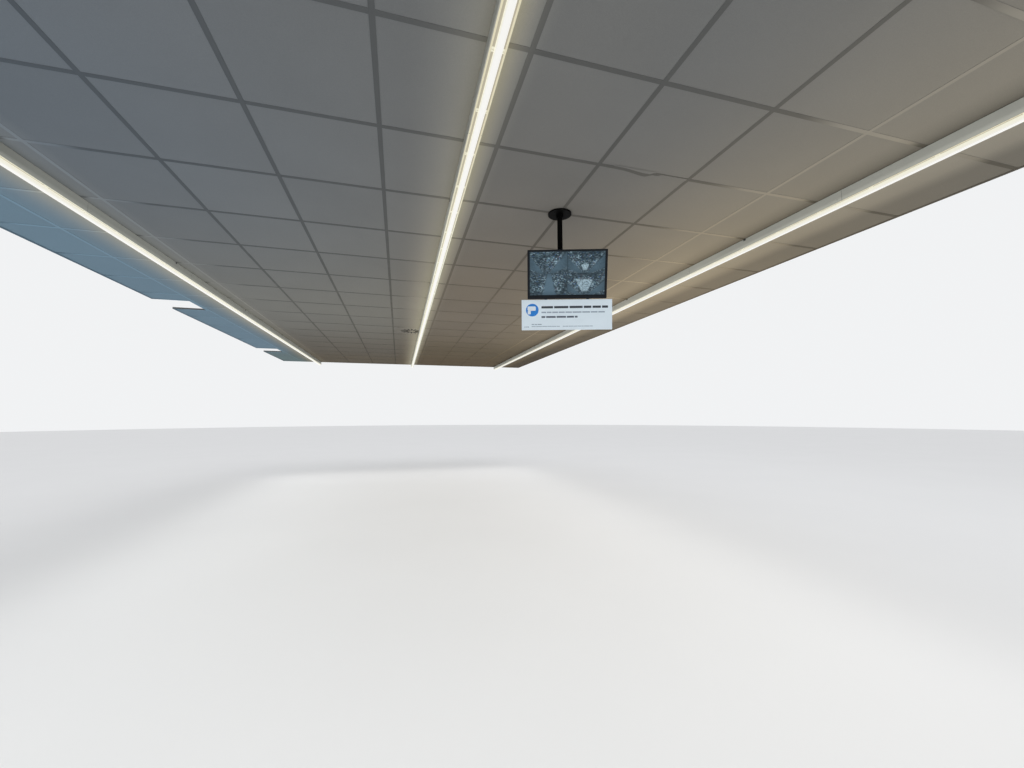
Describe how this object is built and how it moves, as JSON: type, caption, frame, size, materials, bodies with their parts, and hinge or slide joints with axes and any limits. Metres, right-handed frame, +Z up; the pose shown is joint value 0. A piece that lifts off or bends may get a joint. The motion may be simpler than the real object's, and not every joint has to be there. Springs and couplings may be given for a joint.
{
  "type": "suspended shop ceiling with light lines",
  "caption": "Shop ceiling of lay-in tiles on a hung T-bar grid, with long light lines, a swirl air diffuser and a screen with a notice board that swivels and tilts on a pole.",
  "frame": {"origin": "centre line of a main runner on the flat top of its middle soffit bracket, in the plane of the soffit", "axes": "+X across the hall from the window side to the plain wall, +Y along the hall away from the near end, +Z up"},
  "size_m": [6.7, 12, 1.278],
  "materials": {
    "grid_bar": "semi-gloss grey paint",
    "mineral_tile": "matt mineral fibre",
    "wall_angle": "semi-gloss grey paint",
    "galvanised": "galvanised sheet",
    "light_housing": "satin paint",
    "opal_cover": "opal, lit",
    "light_cap": "satin",
    "saddle": "dark spring steel",
    "swirl_paint": "satin grey paint",
    "black_paint": "matt black powder coat",
    "screen_plastic": "moulded black",
    "screen_glass": "lit screen",
    "board": "satin sheet"
  },
  "bodies": {
    "ceiling": {"main_runner_1": "grid_bar", "main_runner_2": "grid_bar", "main_runner_3": "grid_bar", "main_runner_4": "grid_bar", "main_runner_5": "grid_bar", "between_runners": "grid_bar", "cross_tees_bay_1": "grid_bar", "cross_tees_bay_2": "grid_bar", "cross_tees_bay_3": "grid_bar", "tiles_bay_1": "mineral_tile", "window_tiles_bay_1": "mineral_tile", "tiles_bay_2": "mineral_tile", "window_tiles_bay_2": "mineral_tile", "tiles_bay_3": "mineral_tile", "window_tiles_bay_3": "mineral_tile", "wall_angle_window_side": "wall_angle", "wall_angle_wall_side": "wall_angle", "wall_angles_at_ends": "wall_angle", "pier_trims": "wall_angle", "hanger_clips": "galvanised", "hanger_straps": "galvanised", "soffit_brackets": "galvanised", "light_housing_window_side": "light_housing", "light_diffuser_window_side": "opal_cover", "light_housing_centre": "light_housing", "light_diffuser_centre": "opal_cover", "light_housing_wall_side": "light_housing", "light_diffuser_wall_side": "opal_cover", "light_end_caps": "light_cap", "light_saddles": "saddle", "swirl_panel": "swirl_paint", "plenum_box": "galvanised", "ceiling_flange": "black_paint", "screen_pole": "black_paint"},
    "swivel": {"swivel_head": "black_paint"},
    "screen": {"tilt_bracket": "black_paint", "screen_case": "screen_plastic", "screen_glass": "screen_glass", "board_straps": "black_paint", "notice_board": "board"}
  },
  "joints": [
    {"name": "screen_swivel", "type": "hinge", "parent": "ceiling", "child": "swivel", "pos_m": [1.25, -5.3125, -0.881], "axis": [0, 0, 1], "range_deg": [-90, 90]},
    {"name": "screen_tilt", "type": "hinge", "parent": "swivel", "child": "screen", "pos_m": [1.23647, -5.35542, -0.881], "axis": [0.9537, -0.3007, 0], "range_deg": [-21, 9]}
  ]
}
